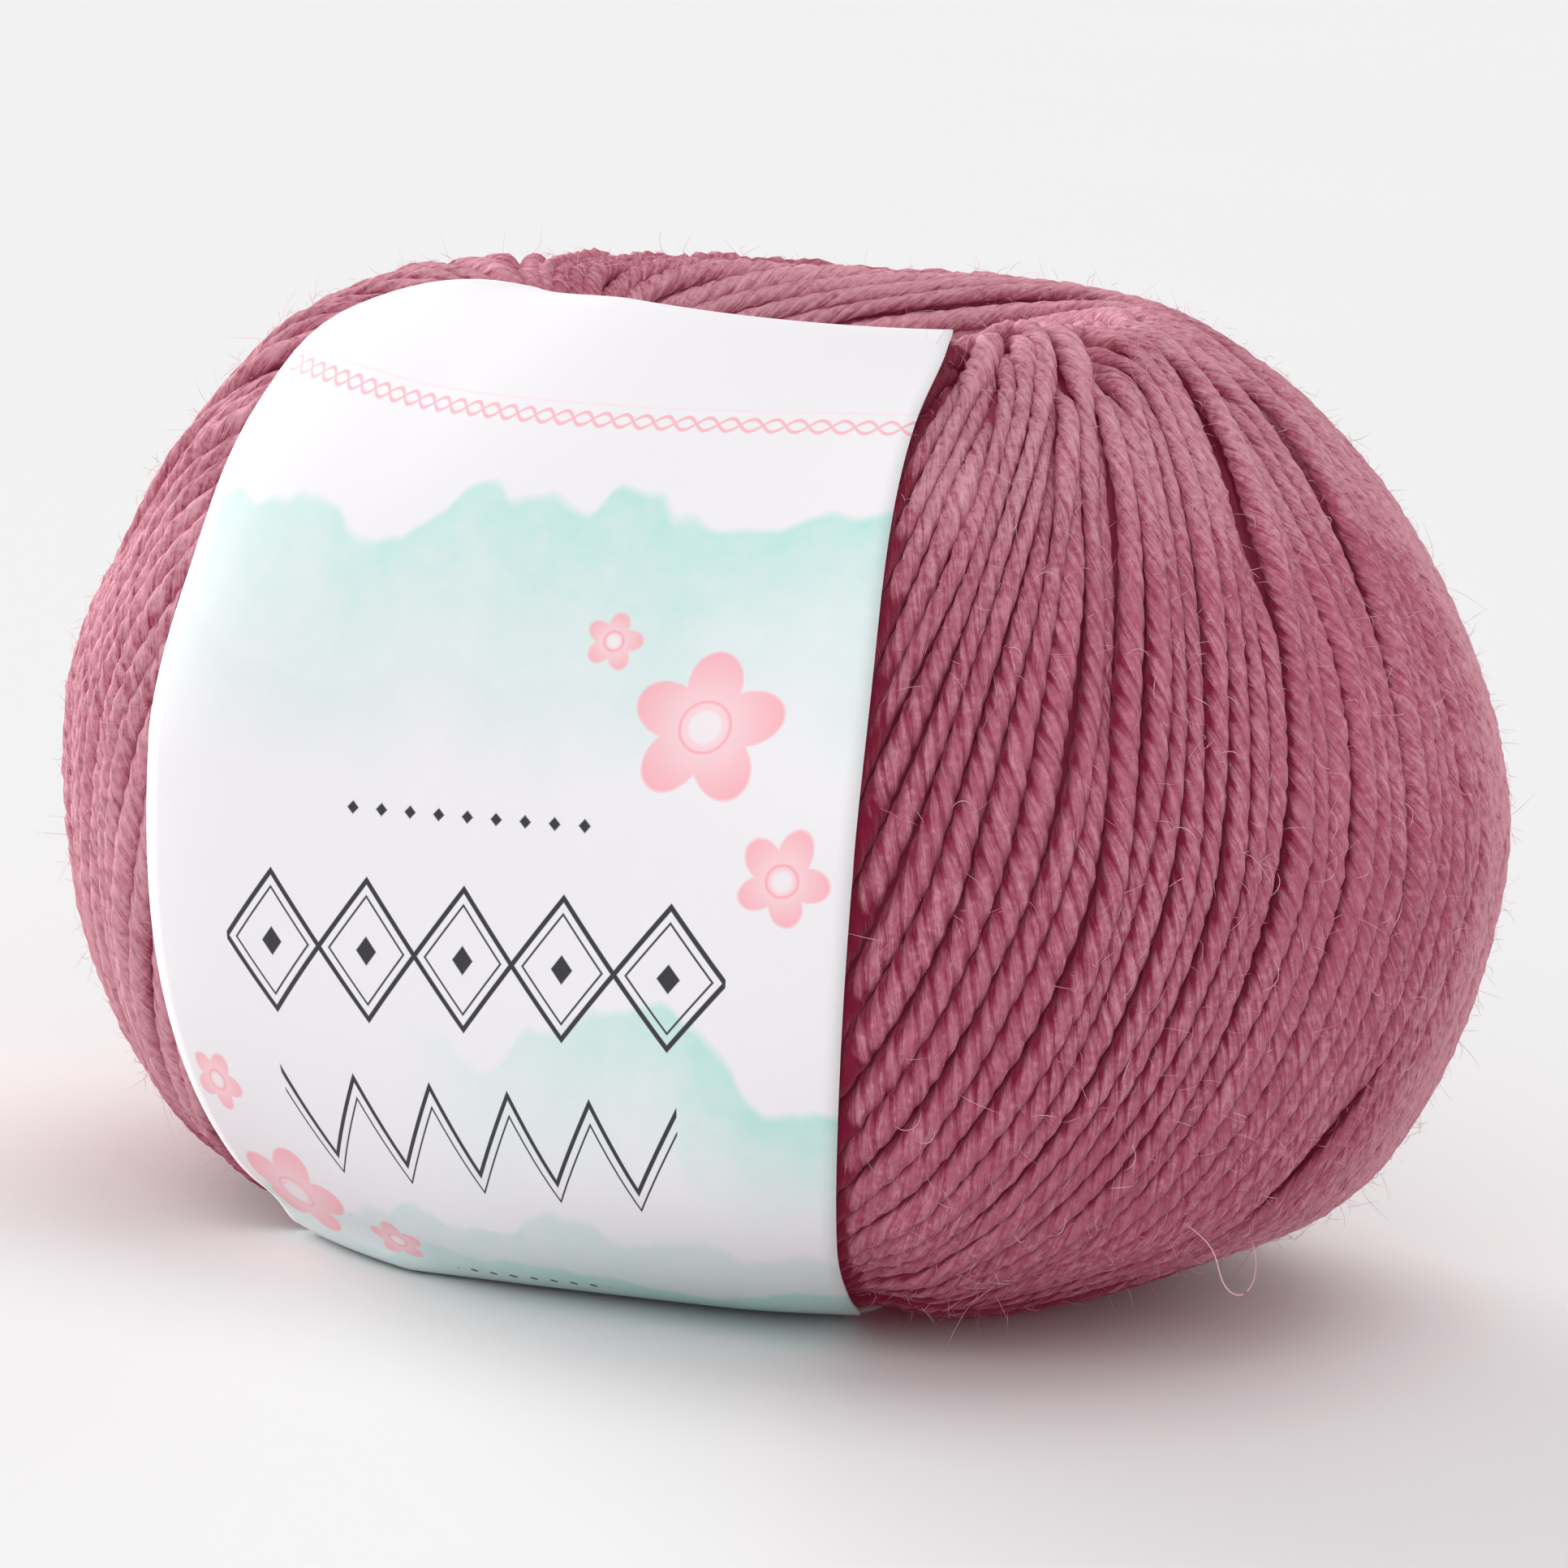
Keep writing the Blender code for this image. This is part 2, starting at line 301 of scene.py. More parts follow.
def band_at(station):
    """Left and right edge in radians, press, and reach to both sides, read smoothly."""
    station = np.asarray(station, float) % STATION_COUNT
    once_round = np.array([STATION_COUNT, 0, 0, 0, 0, 0])
    rows = np.vstack([BAND_STATIONS[-1:] - once_round, BAND_STATIONS,
                      BAND_STATIONS[:2] + once_round])
    places = rows[:, 0]
    index = np.clip(np.searchsorted(places, station, side="right") - 1, 1, len(places) - 3)
    gap = places[index + 1] - places[index]
    share = ((station - places[index]) / gap)[..., None]
    gap = gap[..., None]
    a, b, c, d = (rows[index + i] for i in (-1, 0, 1, 2))
    slope_b = (c - a) / (c - a)[..., :1] * gap
    slope_c = (d - b) / (d - b)[..., :1] * gap
    cube = share ** 3
    square = share ** 2
    value = (2.0 * cube - 3.0 * square + 1.0) * b + (cube - 2.0 * square + share) * slope_b
    value += (3.0 * square - 2.0 * cube) * c + (cube - square) * slope_c
    left = np.radians(value[..., 1])
    right = np.radians(value[..., 2])
    return left, right, np.maximum(value[..., 3], 0.0) * MM, value[..., 4], value[..., 5]


def past_band(station, angle):
    """Distance past the band's nearer edge, negative under the band."""
    left, right = band_at(station)[:2]
    return np.maximum(left - angle, angle - right) * profile(station)[0]


def bed_share(station, angle):
    """1 under the band, falling to 0 a little way past its edges."""
    return 1.0 - smooth_step((past_band(station, angle) - BED_MARGIN) / BED_SLOPE)


def crease_shift(angle, height):
    """How far the band's straight crease on the floor moves the foot of the ball outwards."""
    reach = CREASE_DISTANCE / np.maximum(np.cos(angle - math.radians(CREASE_ANGLE)), 0.1)
    shift = np.minimum(reach, CREASE_REACH) - FLAT_OUTER_RADIUS
    fade = np.where(shift < 0.0, CREASE_FADE, SPREAD_FADE)
    return shift * np.maximum(1.0 - height / fade, 0.0) ** 2


def bulge(station, angle):
    """How far the unevenly wound ball swells out here."""
    total = 0.0
    for middle, half_width, level, half_length, height in BULGES:
        across = np.degrees(wrapped(angle - math.radians(middle))) / half_width
        along = (station - level) / half_length
        spread = np.maximum(1.0 - across ** 2, 0.0) * np.maximum(1.0 - along ** 2, 0.0)
        total = total + height * MM * spread ** 2
    return total


def skin(station, angle, depth=0.0):
    """Points on the ball's skin or this deep below it, and the outward directions there."""
    station = np.asarray(station, float) % STATION_COUNT
    angle = wrapped(np.asarray(angle, float))
    radius, height = profile(station)
    out_r, out_z = profile_normal(station)
    left, right, press, reach_left, reach_right = band_at(station)
    past_middle = angle - 0.5 * (left + right)
    reach = np.where(past_middle > 0.0, reach_right, reach_left)
    across = past_middle / (0.5 * (right - left) * reach)
    squeeze = press * np.maximum(1.0 - across * across, 0.0) ** 2
    outer_low = station >= STATION_COUNT - 1
    radius = radius - squeeze * np.where(outer_low, 1.0, out_r)
    height = height - squeeze * np.where(outer_low, 0.0, out_z)
    share = bed_share(station, angle) * smooth_step(station - 4.0)
    radius = radius + share * crease_shift(angle, height)
    depth = depth - bulge(station, angle)
    radius = radius - depth * out_r
    height = height - depth * out_z
    sine = np.sin(angle)
    cosine = np.cos(angle)
    points = np.stack([radius * sine, AXIS_Y - radius * cosine, height], axis=-1)
    normals = np.stack([out_r * sine, -out_r * cosine, out_z], axis=-1)
    return points, normals


def add_object(name, data):
    obj = bpy.data.objects.new(name, data)
    bpy.context.scene.collection.objects.link(obj)
    return obj


def make_mesh(name, points, faces, material, uvs=None, height=None):
    """Object from points, arrays of equal-sided faces and, where the material needs them, a UV
    for each corner and how far out of its groove each point lies, 0 to 1 before its painted
    shade is taken off or its painted light added."""
    mesh = bpy.data.meshes.new(name)
    sides = np.concatenate([np.full(len(f), f.shape[1]) for f in faces])
    corners = np.concatenate([f.ravel() for f in faces])
    if uvs is None:
        uvs = np.zeros((len(corners), 2))
    mesh.vertices.add(len(points))
    mesh.vertices.foreach_set("co", np.asarray(points, np.float32).ravel())
    mesh.loops.add(len(corners))
    mesh.loops.foreach_set("vertex_index", corners.astype(np.int32))
    mesh.polygons.add(len(sides))
    starts = np.concatenate([[0], np.cumsum(sides)[:-1]])
    mesh.polygons.foreach_set("loop_start", starts.astype(np.int32))
    layer = mesh.uv_layers.new(name="UVMap")
    layer.data.foreach_set("uv", np.asarray(uvs, np.float32).ravel())
    if height is not None:
        layer = mesh.attributes.new("height", "FLOAT", "POINT")
        layer.data.foreach_set("value", np.asarray(height, np.float32).ravel())
    mesh.update(calc_edges=True)
    mesh.validate()
    mesh.shade_smooth()
    mesh.materials.append(material)
    return add_object(name, mesh)


def grid_corners(rows, columns, closed):
    """Row and column of each face's four corners, on a tube whose rings are the rows."""
    faces = np.arange(rows if closed else rows - 1)
    row, column = np.meshgrid(faces, np.arange(columns), indexing="ij")
    below = (row + 1) % rows
    after = (column + 1) % columns
    return (row, column), (row, after), (below, after), (below, column)


def grid_quads(corners, columns):
    return np.stack([row * columns + column for row, column in corners], -1).reshape(-1, 4)


def stands_for(obj, node):
    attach(obj, "root")
    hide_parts(node)


# ---- materials


class Number:
    """A number in a material, so that formulas can be written as such."""

    def __init__(self, tree, socket):
        self.tree = tree
        self.socket = socket

    def apply(self, operation, *others, clamp=False):
        node = self.tree.nodes.new("ShaderNodeMath")
        node.operation = operation
        node.use_clamp = clamp
        for slot, value in zip(node.inputs, (self,) + others):
            feed(self.tree, slot, value)
        return Number(self.tree, node.outputs[0])

    def __add__(self, other):
        return self.apply("ADD", other)

    def __sub__(self, other):
        return self.apply("SUBTRACT", other)

    def __mul__(self, other):
        return self.apply("MULTIPLY", other)

    def __truediv__(self, other):
        return self.apply("DIVIDE", other)

    def size(self):
        return self.apply("ABSOLUTE")

    def least(self, other):
        return self.apply("MINIMUM", other)

    def most(self, other):
        return self.apply("MAXIMUM", other)

    def sine(self):
        return self.apply("SINE")

    def repeat(self, pitch):
        """Distance to the nearest multiple of the pitch."""
        return self.apply("PINGPONG", 0.5 * pitch)

    def clamped(self):
        """Held between 0 and 1."""
        return self.apply("ADD", 0.0, clamp=True)

    def contrast(self, middle, strength):
        return (self - middle) * strength

    def below(self, edge, softness):
        """1 below the edge, 0 above it, and smooth between."""
        return ((self - edge) / -softness + 0.5).clamped()


def feed(tree, slot, value):
    if isinstance(value, Number):
        tree.links.new(value.socket, slot)
    elif isinstance(value, bpy.types.NodeSocket):
        tree.links.new(value, slot)
    else:
        slot.default_value = value


def new_material(name, **values):
    material = bpy.data.materials.new(name)
    material.use_nodes = True
    tree = material.node_tree
    shader = tree.nodes["Principled BSDF"]
    for key, value in values.items():
        shader.inputs[key.replace("_", " ")].default_value = value
    return material, tree, shader


def mix(tree, share, a, b):
    node = tree.nodes.new("ShaderNodeMix")
    node.data_type = "RGBA"
    feed(tree, node.inputs[0], share)
    feed(tree, node.inputs[6], a)
    feed(tree, node.inputs[7], b)
    return node.outputs[2]


def noise(tree, vector, scale, detail=2.0, roughness=0.5):
    node = tree.nodes.new("ShaderNodeTexNoise")
    feed(tree, node.inputs["Vector"], vector)
    node.inputs["Scale"].default_value = scale
    node.inputs["Detail"].default_value = detail
    node.inputs["Roughness"].default_value = roughness
    return Number(tree, node.outputs["Fac"])


def uv_parts(tree):
    place = tree.nodes.new("ShaderNodeUVMap")
    place.uv_map = "UVMap"
    parts = tree.nodes.new("ShaderNodeSeparateXYZ")
    tree.links.new(place.outputs[0], parts.inputs[0])
    return Number(tree, parts.outputs[0]), Number(tree, parts.outputs[1])


def vector_of(tree, x, y):
    node = tree.nodes.new("ShaderNodeCombineXYZ")
    for slot, value in zip(node.inputs, (x, y)):
        feed(tree, slot, value)
    return node.outputs[0]


def groove_height_and_painted_shade(tree):
    node = tree.nodes.new("ShaderNodeAttribute")
    node.attribute_name = "height"
    return Number(tree, node.outputs["Fac"])


def object_place(tree):
    return tree.nodes.new("ShaderNodeTexCoord").outputs["Object"]


def add_bump(tree, shader, height, distance, strength):
    node = tree.nodes.new("ShaderNodeBump")
    node.inputs["Distance"].default_value = distance
    node.inputs["Strength"].default_value = strength
    feed(tree, node.inputs["Height"], height)
    tree.links.new(node.outputs[0], shader.inputs["Normal"])


def mottled_material(name, colours, scale, detail, **values):
    """Soft patches of two colours."""
    material, tree, shader = new_material(name, **values)
    patches = noise(tree, object_place(tree), scale, detail)
    tree.links.new(mix(tree, patches, *colours), shader.inputs["Base Color"])
    return material


WOOL = (0.53, 0.19, 0.25, 1.0)
# Darker wool, for fibres at random and for painted shade in the grooves between the plies
WOOL_DARK_FIBRE_AND_SHADE = (0.30, 0.035, 0.085, 1.0)
# Paler wool, for fibres and patches at random and for painted light on the upper side and the
# limbs
WOOL_PALE = (0.76, 0.40, 0.47, 1.0)
# Painted shade in the grooves between the strands
WOOL_GROOVE_SHADE = (0.175, 0.008, 0.030, 1.0)
# Painted glow: a weak emission standing in for light scattered inside the wool, reddening grooves
# and shadows
WOOL_GLOW = (0.42, 0.028, 0.085, 1.0)
WOOL_SHEEN = (1.0, 0.52, 0.62, 1.0)
# The core is the same wool, painted darker for the shade in the gaps between the outer strands,
# mottled at random
CORE_SHADE_COLOURS = ((0.24, 0.03, 0.065, 1.0), (0.36, 0.07, 0.12, 1.0))
# Fibres paler than the wool: painted highlight of fine hairs catching the light, mottled at
# random
FIBRE_COLOURS = ((0.60, 0.26, 0.33, 1.0), (0.95, 0.68, 0.74, 1.0))
PAINTED_LIGHT_HEIGHT = 1.20  # painted light, paler wool, starts at this height
# Below this height the painted groove shade sets in
GROOVE_TOP = 0.68  # below this the groove turns dark


def wool_material():
    """Matte wool.  The UV gives the place round the strand, 0 to 1, and along it in metres."""
    # Painted glow: a weak emission that reddens the grooves and shadows of the wool
    material, tree, shader = new_material(
        "wool", Roughness=0.75, Sheen_Weight=0.35, Sheen_Roughness=0.35, Sheen_Tint=WOOL_SHEEN,
        Specular_IOR_Level=0.05, Emission_Color=WOOL_GLOW, Emission_Strength=0.12)
    around, along = uv_parts(tree)
    height = groove_height_and_painted_shade(tree)
    drift = noise(tree, vector_of(tree, around * 3.0, along * 160.0), 1.0, 1.0)
    ply = ((around * PLY_COUNT + drift * 0.45) * FULL_TURN).apply("COSINE") * -0.5 + 0.5
    fibres = noise(tree, vector_of(tree, around * 13.0, along * 240.0), 1.0, 4.0, 0.75)
    lint = noise(tree, object_place(tree), 1900.0, 3.0, 0.65)
    patches = noise(tree, object_place(tree), 90.0, 3.0)
    groove = (ply * 1.6).least(1.0)
    # Darker fibres at random, and painted shade down the grooves between the plies
    shade = groove * 0.35 + fibres.contrast(0.5, 2.6) + lint.contrast(0.5, 1.3) + 0.5
    colour = mix(tree, shade.clamped(), WOOL_DARK_FIBRE_AND_SHADE, WOOL)
    # Paler fibres and patches at random, and painted light on the upper side and the limbs
    painted_light = (height - PAINTED_LIGHT_HEIGHT).most(0.0) * 0.9
    pale = fibres.contrast(0.52, 2.6) + lint.contrast(0.5, 1.6) + patches.contrast(0.5, 0.9) + painted_light
    colour = mix(tree, pale.clamped(), colour, WOOL_PALE)
    # Painted shade in the grooves between the strands, reaching a little way in between the plies
    notch = groove.contrast(0.6, 0.55) * (height * -0.85 + 1.0).most(0.2)
    raised = (height + fibres.contrast(0.5, 0.45) + notch - GROOVE_TOP) * 3.4
    colour = mix(tree, raised.clamped(), WOOL_GROOVE_SHADE, colour)
    tree.links.new(colour, shader.inputs["Base Color"])
    add_bump(tree, shader, fibres + lint * 0.3 + groove * 0.15, 0.45 * MM, 1.0)
    return material


# The print, in mm across and down the band from PRINT_TOP below the rim
UV_SCALE = 100.0
PRINT_TOP = 9.0
PRINT_SHEAR = 0.08
RIM_CURVE = 0.0026
RIM_FADE = 30.0
PAPER = (0.875, 0.855, 0.88, 1.0)
MINT = (0.42, 0.77, 0.70, 1.0)
MINT_GREY = (0.60, 0.76, 0.75, 1.0)
BLOSSOM_PINK = (0.96, 0.40, 0.46, 1.0)
BLUSH = (0.97, 0.72, 0.76, 1.0)
CHARCOAL = (0.035, 0.035, 0.042, 1.0)
# Top, swing of the ridge line, height, strength, fade to one side, share in the middle, ink
WASHES = (
    (13.0, 7.0, 17.0, 0.80, -0.30, 0.55, MINT), (24.0, 6.0, 9.0, 0.22, 0.45, 0.35, MINT_GREY),
    (47.0, 8.0, 12.0, 0.85, -1.2, -0.15, MINT), (62.0, 7.0, 16.0, 0.65, 0.35, 0.7, MINT_GREY),
    (67.0, 6.0, 14.0, 0.80, -0.6, 0.4, MINT),
)
BORDER_LEVEL = 5.2
BORDER_WAVE = 0.55
BORDER_RATE = 2.2
HAIRLINE_LEVEL = 3.9
# Centre, size and turn of each flower
BLOSSOMS = (
    ((15.5, 27.0), 4.6, 0.3), ((21.0, 35.5), 2.7, 1.1), ((9.0, 21.5), 1.9, 0.7),
    ((-18.5, 62.0), 4.7, 0.9), ((-10.0, 65.5), 2.3, 0.2), ((-21.5, 52.5), 2.2, 1.4),
)
PETAL_LENGTH = 0.42
PETAL_ROOT = 0.62
BLOSSOM_EYE = 0.22
BLOSSOM_RING = 0.34
# Level, half length, pitch, slope, diamonds or zigzag, place and half width of the two lines
PATTERNS = (
    (42.0, 18.0, 7.2, 1.25, True, ((4.5, 0.26), (3.5, 0.11))),
    (57.0, 15.0, 6.0, 2.1, False, ((0.0, 0.34), (1.5, 0.15))),
)
# Level, half length, pitch, slope and size of each row of marks
MARK_ROWS = (
    (42.0, 18.0, 7.2, 1.25, 0.95), (33.0, 9.5, 2.1, 1.0, 0.42), (68.5, 6.2, 1.6, 1.0, 0.34),
    (75.5, 10.5, 1.3, 1.0, 0.22),
)
LINE_EDGE = 0.10  # softness of the inks' edges
MARK_EDGE = 0.12
END_EDGE = 0.05


def blossom(x, y, centre, size, turned):
    """Distance past the outline of a flower with five petals, and from its middle."""
    dx = x - centre[0]
    dy = y - centre[1]
    distance = (dx * dx + dy * dy).apply("SQRT")
    petal = (dx.apply("ARCTAN2", dy) * 2.5 + turned).sine().size()
    return distance - (petal * PETAL_LENGTH + PETAL_ROOT) * size, distance


def paper_material():
    """Printed paper.  The UV gives the place across and down the band in mm / UV_SCALE."""
    material, tree, shader = new_material("printed_paper", Roughness=0.5, Specular_IOR_Level=0.35)
    across, down = uv_parts(tree)
    x = across * UV_SCALE
    y = down * UV_SCALE - PRINT_TOP
    # The print runs straight across the paper, while the ball's rim falls away to both sides
    near_rim = (y * (-1.0 / RIM_FADE) + 1.0).clamped()
    y = y + x * PRINT_SHEAR - x * x * near_rim * RIM_CURVE
    colour = PAPER

    def paint(share, ink):
        nonlocal colour
        colour = mix(tree, share, colour, ink)

    # Washes: a soft ridge line, filled below and fading out downwards
    ragged = noise(tree, vector_of(tree, x * 0.55, y * 0.2), 0.16, 2.5, 0.5)
    grain = noise(tree, vector_of(tree, x, y), 0.5, 4.0, 0.6)
    for top, swing, fade, strength, side, middle, ink in WASHES:
        past = y - (ragged.contrast(0.5, 3.0 * swing) + top)
        body = (past.below(0.0, 0.8) * -1.0 + 1.0) * past.below(fade * 0.5, fade)
        lean = (x * (side * -0.04) + middle + 0.4).clamped()
        paint(body * (grain * 0.9 + 0.45) * lean * strength, ink)

    # Border of two twisted lines under the rim, and a hairline above it
    wave = (x * BORDER_RATE).sine() * BORDER_WAVE
    border = (y - BORDER_LEVEL - wave).size().least((y - BORDER_LEVEL + wave).size())
    paint(border.below(0.15, 0.14) * 0.8, BLOSSOM_PINK)
    paint((y - HAIRLINE_LEVEL).size().below(0.10, LINE_EDGE) * 0.5, BLUSH)

    for centre, size, turned in BLOSSOMS:
        outline, distance = blossom(x, y, centre, size, turned)
        petal_ink = mix(tree, (distance / size).clamped(), BLUSH, BLOSSOM_PINK)
        paint(outline.below(0.0, 0.25) * 0.85, petal_ink)
        paint(distance.below(size * BLOSSOM_EYE, 0.2) * 0.8, PAPER)
        paint((distance - size * BLOSSOM_RING).size().below(0.09, 0.1) * 0.8, BLOSSOM_PINK)

    for level, half_length, pitch, slope, closed, lines in PATTERNS:
        past = y - level
        past = x.repeat(pitch) * slope + (past.size() if closed else past)
        inside = x.size().below(half_length, END_EDGE)
        for distance, half_width in lines:
            paint((past - distance).size().below(half_width, LINE_EDGE) * inside, CHARCOAL)
    for level, half_length, pitch, slope, size in MARK_ROWS:
        past = x.repeat(pitch) * slope + (y - level).size()
        inside = x.size().below(half_length, END_EDGE)
        paint(past.below(size, MARK_EDGE) * inside, CHARCOAL)

    tree.links.new(colour, shader.inputs["Base Color"])
    fine = noise(tree, object_place(tree), 1500.0, 2.0)
    broad = noise(tree, object_place(tree), 40.0, 1.0)
    add_bump(tree, shader, fine * 0.05 + broad, 0.3 * MM, 0.25)
    return material


# ---- strands


def from_table(rows, angle):
    """Value for an angle in radians from a table in degrees that closes on itself."""
    grid = np.arange(-180, 180)
    values = np.interp(grid, *np.array(rows, float).T, period=360)
    window = np.hanning(2 * TABLE_SPREAD + 1)
    window /= window.sum()
    around = np.concatenate([values[-TABLE_SPREAD:], values, values[:TABLE_SPREAD]])
    values = np.convolve(around, window, mode="valid")
    return np.radians(np.interp(np.degrees(wrapped(angle)), grid, values, period=360))


def touching_turn(turns):
    """Angle gained from the widest level by a taut thread that just touches a circle."""
    ends = np.linspace(0.0, turns[-1], 800)
    radius, height = profile(ends)
    run = np.hypot(np.diff(radius), np.diff(height))
    middle = 0.5 * (radius[1:] + radius[:-1])
    sine = np.minimum(TOUCH_CIRCLE / middle, STEEPEST_LEAN)
    gained = np.concatenate([[0.0], np.cumsum(run * sine / np.sqrt(1.0 - sine ** 2) / middle)])
    return np.interp(np.abs(turns), np.abs(ends), gained)


def waves(count, strand, along, slowest, fastest, around):
    """Smooth seeded noise over strands and along them, about -1 to 1."""
    total = 0.0
    for _ in range(count):
        across = rng.uniform(*around) * FULL_TURN * rng.choice((-1, 1))
        rate = rng.uniform(slowest, fastest) * FULL_TURN
        total = total + np.cos(across * strand + rate * along + rng.uniform(0.0, FULL_TURN))
    return total * math.sqrt(2.0 / count) / 1.5


def strand_angles(turns):
    """Angle round the ball of every strand, at every turn."""
    strand = np.arange(STRAND_COUNT)
    start = FULL_TURN * strand / STRAND_COUNT
    jitter = rng.uniform(-START_JITTER, START_JITTER, STRAND_COUNT)
    start = start + jitter * FULL_TURN / STRAND_COUNT
    seen = wrapped(start - math.radians(CAMERA_ANGLE))[:, None]
    start = start[:, None]
    share = np.tan(from_table(LEANS, seen)) / math.tan(math.asin(TOUCH_CIRCLE / BALL_RADIUS))
    angles = np.empty((STRAND_COUNT, len(turns)))
    for side, table, end, sign, growth in (
            (turns >= 0.0, TOP_TURNS, RIM_TURN, 1.0, TOP_GROWTH),
            (turns < 0.0, FOOT_TURNS, FLAT_TURN, -1.0, FOOT_GROWTH)):
        wanted = from_table(table, seen)
        here = turns[side]
        order = np.argsort(np.abs(here))
        full = np.append(here[order], sign * max(abs(end), abs(here[order][-1])))
        gained = touching_turn(full)
        whole = np.interp(abs(end), np.abs(full), gained)
        part = np.minimum(gained[:-1] / whole, 1.0)
        beyond = np.maximum(gained[:-1] - whole, 0.0)
        turned = share * whole * part + (wanted - share * whole) * part ** growth + beyond
        values = np.empty_like(turned)
        values[:, order] = turned
        angles[:, side] = start + sign * values
    place = strand[:, None] / STRAND_COUNT
    sway = waves(22, place, turns, 0.15, 0.8, (2, 12)) * SLOW_SWAY * MM
    sway = sway + waves(14, place, turns, 0.5, 1.8, (12, 60)) * QUICK_SWAY * MM
    return angles + sway / profile(turns)[0]


def strand_order():
    """Strands from the top layer down: every second one of those left is laid last."""
    bits = int(math.ceil(math.log2(STRAND_COUNT)))
    ranks = []
    for index in range(STRAND_COUNT):
        place = int(index * 2 ** bits / STRAND_COUNT)
        flipped = int(format(place, "0%db" % bits)[::-1], 2)
        ranks.append(flipped + rng.uniform(0.0, ORDER_SHUFFLE * 2 ** bits))
    return np.argsort(ranks)


def square_spacing(turns, angles):
    """Distance between two strands, square to them, for each radian that they lie apart."""
    radius, height = profile(turns)
    run = np.hypot(np.gradient(radius), np.gradient(height))
    slope = np.gradient(angles, axis=1) * radius / run
    return radius / np.sqrt(1.0 + slope ** 2)


def strand_widths(turns, angles, sinks):
    """Width of each strand, squeezed where its neighbours on the same layer are close."""
    spacing = square_spacing(turns, angles)
    widths = np.empty_like(angles)
    for strand in range(STRAND_COUNT):
        gap = wrapped(angles - angles[strand]) * spacing[strand]
        level = np.abs(sinks - sinks[strand]) < 0.5 * STRAND_WIDTH
        level[strand] = False
        right = np.where(level & (gap > 0.0), gap, 3.0 * STRAND_WIDTH).min(axis=0)
        left = np.where(level & (gap <= 0.0), -gap, 3.0 * STRAND_WIDTH).min(axis=0)
        widths[strand] = 0.5 * (left + right)
    widths = np.clip(widths * OVERLAP, SQUEEZED_SHARE * STRAND_WIDTH,
                     WIDEST_SHARE * STRAND_WIDTH)
    return smoothed(widths, 7)


def smoothed(values, width):
    window = np.hanning(2 * width + 3)[1:-1]
    window /= window.sum()
    padded = np.pad(values, ((0, 0), (width, width)), mode="edge")
    return np.apply_along_axis(lambda row: np.convolve(row, window, mode="valid"), 1, padded)


def strand_sinks(turns, angles):
    """How deep each strand lies under those that cover it, where they crowd."""
    spacing = square_spacing(turns, angles)
    sinks = np.zeros_like(angles)
    placed = []
    for strand in strand_order():
        if placed:
            others = np.array(placed)
            apart = np.abs(wrapped(angles[others] - angles[strand])) * spacing[strand]
            near = np.clip(apart / (SQUEEZED_SHARE * STRAND_WIDTH), 0.0, 1.0)
            needed = sinks[others] + SQUEEZED_SINK * STRAND_WIDTH * np.sqrt(1.0 - near ** 2)
            needed = np.where(near < 0.99, needed, 0.0).max(axis=0)
            sinks[strand] = np.minimum(needed, DEEPEST_SINK * STRAND_WIDTH)
        placed.append(strand)
    return smoothed(sinks, 9)


def twisted_strand(points, normals, length, width, pitch):
    """Ring points of one strand of twisted plies, whose columns follow the plies, and how
    far each point lies towards the strand's outer side, 0 to 1."""
    along = unit(np.gradient(points, axis=0))
    out = unit(normals - along * (normals * along).sum(axis=1)[:, None])
    side = np.cross(along, out)
    column = np.arange(RING_COLUMNS)
    ply_form = np.where(column % (RING_COLUMNS // PLY_COUNT) == 0, PLY_GROOVE, 1.0)
    wander = np.cumsum(rng.normal(0.0, TWIST_WANDER, len(length)))
    wander = wander - np.linspace(0.0, wander[-1], len(length))
    twist = FULL_TURN * length[:, None] / pitch
    turned = FULL_TURN * column[None, :] / RING_COLUMNS - twist + wander[:, None]
    uneven = rng.normal(1.0, UNEVEN_PLY, (len(length), RING_COLUMNS))
    reach = 0.5 * width[:, None] * ply_form[None, :] * uneven
    rings = (points[:, None, :]
             + (reach * np.cos(turned))[..., None] * out[:, None, :]
             + (reach * np.sin(turned))[..., None] * side[:, None, :])
    return rings, 0.5 + 0.5 * np.cos(turned)


